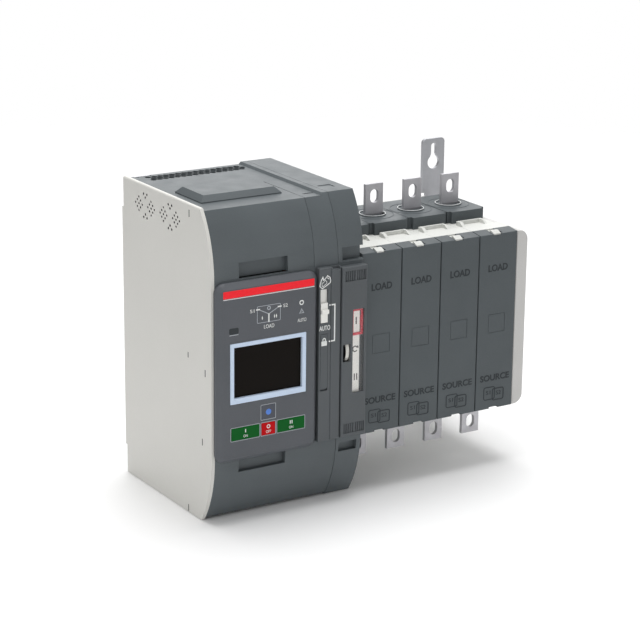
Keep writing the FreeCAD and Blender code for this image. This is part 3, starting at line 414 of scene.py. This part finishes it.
class Marks:
    """Thin raised shapes on a face that looks along -Y, gathered into one piece."""

    def __init__(self, name, face, rise, material="white_ink", slot="light_plastic",
                 body="root"):
        self.name, self.material, self.slot, self.body = name, material, slot, body
        self.face, self.rise = face, rise
        self.back = face + MARK_SINK
        self.bm = bmesh.new()

    def prism(self, points):
        verts = self.bm.verts
        front = [verts.new(corner(x, self.face - self.rise, z)) for x, z in points]
        back = [verts.new(corner(x, self.back, z)) for x, z in points]
        self.bm.faces.new(front)
        self.bm.faces.new(list(reversed(back)))
        for i in range(len(points)):
            j = (i + 1) % len(points)
            self.bm.faces.new((front[j], front[i], back[i], back[j]))

    def ribbon(self, points, width, closed=False, rise=None):
        """A line of even width with mitred corners."""
        count = len(points)
        front = self.face - (rise or self.rise)
        rows = []
        for i in range(count):
            point = Vector(points[i])
            into = (point - Vector(points[i - 1])).normalized()
            out = (Vector(points[(i + 1) % count]) - point).normalized()
            if not closed and i == 0:
                into = out
            if not closed and i == count - 1:
                out = into
            normal = Vector((-into.y, into.x))
            mitre = (normal + Vector((-out.y, out.x))).normalized()
            reach = width / 2.0 / max(mitre.dot(normal), 0.35)
            left, right = point + mitre * reach, point - mitre * reach
            rows.append([
                self.bm.verts.new(corner(side.x, y, side.y)) for side, y in
                ((left, front), (right, front), (right, self.back), (left, self.back))])
        for i in range(count if closed else count - 1):
            here, following = rows[i], rows[(i + 1) % count]
            for j in range(4):
                k = (j + 1) % 4
                self.bm.faces.new((here[j], here[k], following[k], following[j]))
        if not closed:
            self.bm.faces.new(rows[0])
            self.bm.faces.new(list(reversed(rows[-1])))

    def text(self, body, left, bottom, right, top, heavy=0.0):
        """Lettering stretched to fill a box; heavy thickens its strokes."""
        curve = bpy.data.curves.new("glyphs", "FONT")
        curve.body = body
        curve.resolution_u = 4
        curve.extrude = 0.05
        curve.offset = heavy
        obj = bpy.data.objects.new("glyphs", curve)
        scene.collection.objects.link(obj)
        bpy.context.view_layer.update()
        graph = bpy.context.evaluated_depsgraph_get()
        mesh = bpy.data.meshes.new_from_object(obj.evaluated_get(graph))
        xs = [vert.co.x for vert in mesh.vertices]
        ys = [vert.co.y for vert in mesh.vertices]
        x0, x1, y0, y1 = min(xs), max(xs), min(ys), max(ys)
        for vert in mesh.vertices:
            vert.co = corner(
                left + (vert.co.x - x0) / (x1 - x0) * (right - left),
                self.face - self.rise if vert.co.z > 0 else self.back,
                bottom + (vert.co.y - y0) / (y1 - y0) * (top - bottom))
        self.bm.from_mesh(mesh)
        bpy.data.objects.remove(obj)
        bpy.data.meshes.remove(mesh)
        bpy.data.curves.remove(curve)

    def done(self):
        bmesh.ops.remove_doubles(self.bm, verts=self.bm.verts, dist=1e-7)
        add_piece(self.name, self.bm, self.material, self.body)


# ---------------------------------------------------------------- operator panel
# Boxes here and below are left, bottom, right, top; points are (x, z).
PANEL_LEFT, PANEL_RIGHT = 7.0, 92.0
KEY_BOXES = (
    (14.2, 74.0, 40.3, 84.4), (42.5, 74.0, 55.3, 84.4),
    (57.6, 74.0, 83.4, 84.4), (42.5, 87.8, 55.3, 99.6),
)
KEY_GAP = 0.55  # from a key's edge to the middle of its border
OFF_RING = {"radius": 1.35, "width": 0.7}
# key, x of its upright bars (none: a ring), label, label's left and right
KEY_SIGNS = (
    ("key_source_1", (27.3,), "ON", 25.3, 29.3),
    ("key_off", (), "OFF", 46.5, 51.3),
    ("key_source_2", (69.7, 71.4), "ON", 68.5, 72.5),
)


def panel_marks():
    stripe = Marks("panel_stripe", PANEL_FACE, rise=0.14, material="red_ink", slot="red_key")
    stripe.prism(box(PANEL_LEFT, 194.6, PANEL_RIGHT, 200.6, radius=0.5))
    stripe.done()

    marks = Marks("panel_marks", PANEL_FACE, rise=0.12)
    # the line under the stripe
    marks.prism([(PANEL_LEFT, 193.6), (PANEL_RIGHT, 193.6),
                 (PANEL_RIGHT, 194.2), (PANEL_LEFT, 194.2)])
    # mimic diagram: two sources, their lines, the line to the load and three diamonds
    marks.text("S1", 31.6, 179.8, 35.6, 182.6)
    marks.text("S2", 62.7, 180.4, 66.8, 183.2)
    marks.ribbon([(37.2, 181.7), (40.8, 181.7)], width=1.1)
    marks.ribbon([(57.4, 181.7), (61.0, 181.7)], width=1.1)
    marks.ribbon([(49.1, 170.0), (49.1, 177.3)], width=1.2)
    for x in (43.0, 54.4, 56.2):
        marks.prism([(x, 172.4), (x + 0.55, 174.2), (x, 176.0), (x - 0.55, 174.2)])
    marks.text("LOAD", 44.6, 165.0, 54.2, 168.2)
    # status marks on the right
    marks.ribbon(circle(80.0, 181.9, radius=1.7), width=0.85, closed=True)
    marks.text("AUTO", 76.2, 165.6, 84.6, 168.6)
    marks.done()

    fine = Marks("panel_fine_marks", PANEL_FACE, rise=0.1, material="pale_ink")
    # the diagram's frame, slanted lines and ring
    fine.ribbon(box(38.3, 170.3, 59.9, 184.2, radius=0.6), width=0.4, closed=True)
    fine.ribbon([(40.6, 181.2), (49.0, 176.9)], width=0.6)
    fine.ribbon([(57.6, 181.2), (49.2, 176.9)], width=0.6)
    fine.ribbon(circle(49.15, 181.8, OFF_RING["radius"]), OFF_RING["width"], closed=True)
    # triangle with a short stroke inside
    fine.ribbon([(80.0, 176.5), (82.1, 173.1), (78.2, 173.1)], width=0.5, closed=True)
    fine.ribbon([(80.1, 174.0), (80.1, 175.0)], width=0.4)
    # line under the service port
    fine.ribbon([(12.6, 163.7), (20.8, 163.7)], width=0.6)
    fine.done()

    port = Marks("port_window", PANEL_FACE, rise=0.12, material="mark_dark",
                 slot="black_plastic")
    port.prism(box(12.3, 164.4, 21.0, 169.5, radius=1.2))
    port.done()


def key_marks():
    borders = Marks("key_borders", PANEL_FACE, rise=0.1, material="pale_ink")
    for left, bottom, right, top in KEY_BOXES:
        outline = box(left - KEY_GAP, bottom - KEY_GAP, right + KEY_GAP, top + KEY_GAP,
                      radius=0.6)
        borders.ribbon(outline, width=0.45, closed=True)
    borders.done()
    for key, bars, label, left, right in KEY_SIGNS:
        marks = Marks(key + "_marks", KEY_FACE, rise=0.1, body=key)
        for x in bars:
            marks.ribbon([(x, 79.7), (x, 82.6)], width=0.8)
        if not bars:
            marks.ribbon(circle(48.9, 81.1, OFF_RING["radius"]), OFF_RING["width"],
                         closed=True)
        marks.text(label, left, 75.6, right, 77.8)
        marks.done()
    dot = Marks("key_auto_dot", KEY_FACE, rise=0.12, material="blue_ink",
                slot="display_frame", body="key_auto")
    dot.prism(circle(48.9, 93.7, radius=2.5))
    dot.done()


# ---------------------------------------------------------------- selector console
HAND_OUTLINE = [
    (101.05, 199.87), (99.61, 197.47), (98.9, 195.31), (98.2, 192.49), (100.61, 190.2),
    (105.01, 192.51), (108.3, 194.54), (108.5, 195.49), (108.4, 197.12), (107.9, 198.88),
    (105.46, 200.56), (103.09, 197.96), (101.63, 197.19),
]
HAND_INNER = [
    (100.26, 194.95), (101.66, 195.08), (103.29, 196.96), (104.78, 195.79),
    (104.8, 194.16), (102.79, 192.98), (101.33, 191.72), (100.41, 192.18),
]
BRACKET_TOP, BRACKET_BOTTOM = 175.3, 144.2


def console_marks():
    marks = Marks("console_marks", CONSOLE_FACE, rise=0.12)
    marks.text("AUTO", 98.1, 154.2, 108.6, 158.3, heavy=0.012)
    # open hand
    marks.ribbon(HAND_OUTLINE, width=0.75, closed=True)
    marks.ribbon(HAND_INNER, width=0.4, closed=True)
    marks.ribbon([(105.3, 199.0), (107.2, 197.4)], width=0.6)
    # dots at the bracket's ends
    for z in (BRACKET_TOP, BRACKET_BOTTOM):
        marks.prism(circle(108.1, z, radius=0.7, steps=16))
    marks.done()

    bracket = Marks("bracket_mark", CONSOLE_FACE, rise=0.12, body="handle")
    bracket.ribbon([(109.6, BRACKET_TOP), (112.9, BRACKET_TOP),
                    (112.9, BRACKET_BOTTOM), (109.6, BRACKET_BOTTOM)], width=1.15)
    bracket.done()

    padlock = Marks("padlock_mark", CONSOLE_FACE, rise=0.12, body="padlock_tab")
    padlock.prism(box(100.3, 141.0, 105.5, 145.1, radius=0.4))
    bow = circle(102.9, 146.2, radius=1.2, steps=9, start=180, end=0)
    padlock.ribbon([(101.7, 144.7), *bow, (104.1, 144.7)], width=0.85)
    padlock.done()


def scale_marks():
    """Indicator scale, from the top: I, the off sign with its arrow, II."""
    marks = Marks("scale_marks", SCALE_FACE, rise=0.1, material="dark_ink",
                  slot="black_plastic")
    marks.ribbon([(135.4, 154.4), (135.4, 160.6)], width=1.2)
    marks.ribbon(circle(134.6, 133.0, radius=2.3, steps=26, start=20, end=320), width=1.0)
    marks.prism([(136.0, 134.1), (138.2, 133.3), (137.5, 135.9)])
    for x in (134.3, 136.7):
        marks.ribbon([(x, 105.6), (x, 111.4)], width=1.05)
    marks.done()


# ---------------------------------------------------------------- poles
def pole_shade_marks():
    """Marks moulded into each pole cover; their dark colour is painted shade, standing in for
    the shadow in the recessed letters and frames.
    """
    for i in range(POLES):
        x = FIRST_POLE + POLE_PITCH * i
        marks = Marks("pole_marks_%d" % (i + 1), POLE_FACE, rise=0.22,
                      material="mark_dark", slot="pole_dark")
        marks.text("LOAD", x + 9.8, 178.4, x + 30.2, 184.6, heavy=0.025)
        marks.text("SOURCE", x + 4.6, 79.2, x + 35.6, 85.0, heavy=0.025)
        # two overlapping frames, the right one higher off the face
        marks.ribbon(box(x + 9.0, 62.2, x + 20.4, 73.4, radius=1.6), width=0.7, closed=True)
        marks.ribbon(box(x + 18.2, 61.0, x + 30.0, 71.4, radius=1.6), width=0.7,
                     closed=True, rise=0.3)
        marks.text("S1", x + 11.4, 66.8, x + 16.0, 70.2)
        marks.text("S2", x + 22.0, 65.4, x + 27.4, 69.0)
        marks.done()


def tongue_rings(name, material, z, radius, tube, steps):
    """One flat-lying, round-section ring about each pole's load tongue."""
    tongue_y = 79.5
    sides = 8
    bm = bmesh.new()
    for i in range(POLES):
        middle = FIRST_POLE + POLE_PITCH * i + POLE_PITCH / 2
        rows = []
        for step in range(steps):
            around = math.radians(360.0 * step / steps)
            row = []
            for side in range(sides):
                turn = 2 * math.pi * side / sides
                reach = radius + tube * math.cos(turn)
                row.append(bm.verts.new(corner(
                    middle + reach * math.cos(around), tongue_y + reach * math.sin(around),
                    z + tube * math.sin(turn))))
            rows.append(row)
        skin(bm, rows, closed=True)
    add_piece(name, bm, material, smooth=True)


# ---------------------------------------------------------------- side plate and rocker
VENT_SHIFTS = (0.0, -43.3)  # y of the two vent groups, the second nearer the front
GRID_MIDDLES = (122.7, 101.0)  # y of the 3 x 3 diagonal grids
GRID_Z = 246.8
GRID_STEP = 2.88
GRID_RADIUS = 1.05
# y, z of the single holes above and below the grids
SINGLE_VENTS = (
    (114.2, 256.8), (108.2, 256.8), (111.2, 254.0),
    (111.3, 239.6), (114.2, 236.9), (108.4, 236.9),
)
SINGLE_RADIUS = 1.15
# y of the middle, z of the bottom and top
KEY_SLOTS = (
    (35.5, 253.7, 259.8), (15.4, 66.0, 71.9), (39.8, 0.6, 6.6),
    (38.8, 135.0, 139.7), (10.2, 126.2, 132.2),
)
SLOT_HALF_WIDTH = 0.68
SLOT_INSET = 0.04
BLOCK_FACES = (
    (0, 1, 2, 3), (7, 6, 5, 4), (0, 4, 5, 1), (1, 5, 6, 2), (2, 6, 7, 3), (3, 7, 4, 0),
)


def vent_painted_shade():
    """Dark sleeves in the side plate's vents and key slots: painted shade, standing in for the
    shadow inside the holes.
    """
    bm = bmesh.new()
    holes = []
    for shift in VENT_SHIFTS:
        for middle in GRID_MIDDLES:
            for i in (-1, 0, 1):
                for j in (-1, 0, 1):
                    holes.append((middle + shift + GRID_STEP * (i + j),
                                  GRID_Z + GRID_STEP * (i - j), GRID_RADIUS))
        for y, z in SINGLE_VENTS:
            holes.append((y + shift, z, SINGLE_RADIUS))
    angles = [2 * math.pi * i / 20 for i in range(20)]
    for y, z, r in holes:
        section = ((0.12, r + 0.03), (0.12, r - 0.1), (2.9, r - 0.14), (2.9, r + 0.03))
        turn_about_x(bm, section, y, z, angles, closed=True)
    for y, bottom, top in KEY_SLOTS:
        front, back = y - SLOT_HALF_WIDTH, y + SLOT_HALF_WIDTH
        low, high = bottom + SLOT_INSET, top - SLOT_INSET
        verts = [bm.verts.new(corner(x, *place)) for x in (0.06, 1.65)
                 for place in ((front, low), (back, low), (back, high), (front, high))]
        for face in BLOCK_FACES:
            bm.faces.new([verts[k] for k in face])
    add_piece("vent_painted_shade", bm, "rotor_plastic")


def rocker_band():
    """Light band on the manual drive rocker's rim, seen through the panel's slot."""
    left, right = 124.25, 127.25
    inner, outer = 14.2, 15.1
    start, end, steps = 96.0, 212.0, 32
    bm = bmesh.new()
    section = ((left, inner), (left, outer), (right, outer), (right, inner))
    angles = [math.radians(start + (end - start) * i / steps) for i in range(steps + 1)]
    turn_about_x(bm, section, 8.6, 132.5, angles, closed=False)
    add_piece("rocker_rim_band", bm, "rim_band", body="drive_rocker")


panel_marks()
key_marks()
console_marks()
scale_marks()
pole_shade_marks()
# light rings round the load tongues: painted highlight on the terminal collars' chamfer
tongue_rings("terminal_collar_highlights", "collar_rim",
             z=222.9, radius=11.4, tube=0.34, steps=56)
tongue_rings("terminal_block_beads", "pole_dark",
             z=221.95, radius=18.6, tube=0.35, steps=64)
vent_painted_shade()
rocker_band()


# ---------------------------------------------------------------- floor, light and camera
def add_floor():
    """White floor that fades into the surround, so that no far edge is seen."""
    half = 4
    z = cad_low.z - 0.0005
    mesh = bpy.data.meshes.new("floor")
    mesh.from_pydata([(-half, -half, z), (half, -half, z), (half, half, z), (-half, half, z)],
                     [], [(0, 1, 2, 3)])
    floor = bpy.data.objects.new("floor", mesh)
    scene.collection.objects.link(floor)
    shader = Shader("floor")
    white = shader.mix(shader.noise(scale=3, detail=2), srgb(250, 250, 250),
                       srgb(253, 253, 253))
    shader.surface("Base Color", white)
    shader.roughness(shader.noise(scale=40), low=0.85, high=0.95)
    distance = shader.node("ShaderNodeVectorMath", {0: shader.coords}, operation="LENGTH")
    fade = shader.remap(distance.outputs["Value"], low=0.75, high=1.5, to_low=1.0, to_high=0.0)
    shader.surface("Alpha", fade)
    shader.surface("Specular IOR Level", 0.1)
    mesh.materials.append(shader.material)


def add_world():
    """White surround: full strength to the camera, dim as a light."""
    world = bpy.data.worlds.new("studio")
    scene.world = world
    world.use_nodes = True
    nodes, links = world.node_tree.nodes, world.node_tree.links
    lighting = nodes["Background"]
    seen = nodes.new("ShaderNodeBackground")
    for background, strength in ((lighting, 0.34), (seen, 1.0)):
        background.inputs[0].default_value = (1, 1, 1, 1)
        background.inputs[1].default_value = strength
    rays = nodes.new("ShaderNodeLightPath")
    pick = nodes.new("ShaderNodeMixShader")
    links.new(rays.outputs["Is Camera Ray"], pick.inputs[0])
    links.new(lighting.outputs[0], pick.inputs[1])
    links.new(seen.outputs[0], pick.inputs[2])
    links.new(pick.outputs[0], nodes["World Output"].inputs["Surface"])


# name, place, target, diameter, watts
LIGHTS = (
    ("key", (-1.6, -0.7, 1.0), (0, 0, 0), 1.2, 6),
    ("top", (0.1, 0.1, 1.9), (0, -0.05, 0), 1.6, 36),
    ("fill", (0.9, -2.0, 0.7), (0, 0, 0), 1.5, 2.5),
    ("back", (1.5, 2.46, 1.01), (0, 0, 0.05), 2.9, 37.5),
    ("low", (-0.6, -2.2, -0.02), (0, 0, -0.08), 0.9, 5.5),
)


def add_lights():
    for name, place, target, diameter, watts in LIGHTS:
        light = bpy.data.lights.new(name, "AREA")
        light.shape = "DISK"
        light.size = diameter
        light.energy = watts
        obj = bpy.data.objects.new(name, light)
        scene.collection.objects.link(obj)
        obj.location = place
        aim = Vector(target) - Vector(place)
        obj.rotation_euler = aim.to_track_quat("-Z", "Y").to_euler()
        obj.visible_camera = False


def add_camera():
    yaw, pitch, roll = math.radians(-32.0), math.radians(16.6), math.radians(0.6)
    data = bpy.data.cameras.new("camera")
    data.sensor_width = 36.0
    data.lens = 124.88
    data.clip_start = 0.05
    data.clip_end = 50
    camera = bpy.data.objects.new("camera", data)
    scene.collection.objects.link(camera)
    forward = Vector((-math.sin(yaw) * math.cos(pitch), math.cos(yaw) * math.cos(pitch),
                      -math.sin(pitch)))
    level = Vector((math.cos(yaw), math.sin(yaw), 0))
    up = level.cross(forward)
    rolled_right = level * math.cos(roll) + up * math.sin(roll)
    rolled_up = -level * math.sin(roll) + up * math.cos(roll)
    pose = Matrix((rolled_right, rolled_up, -forward)).transposed().to_4x4()
    pose.translation = corner(-825.0, -1484.2, 683.5)
    camera.matrix_world = pose
    scene.camera = camera


add_floor()
add_world()
add_lights()
add_camera()
scene.view_settings.view_transform = "Standard"
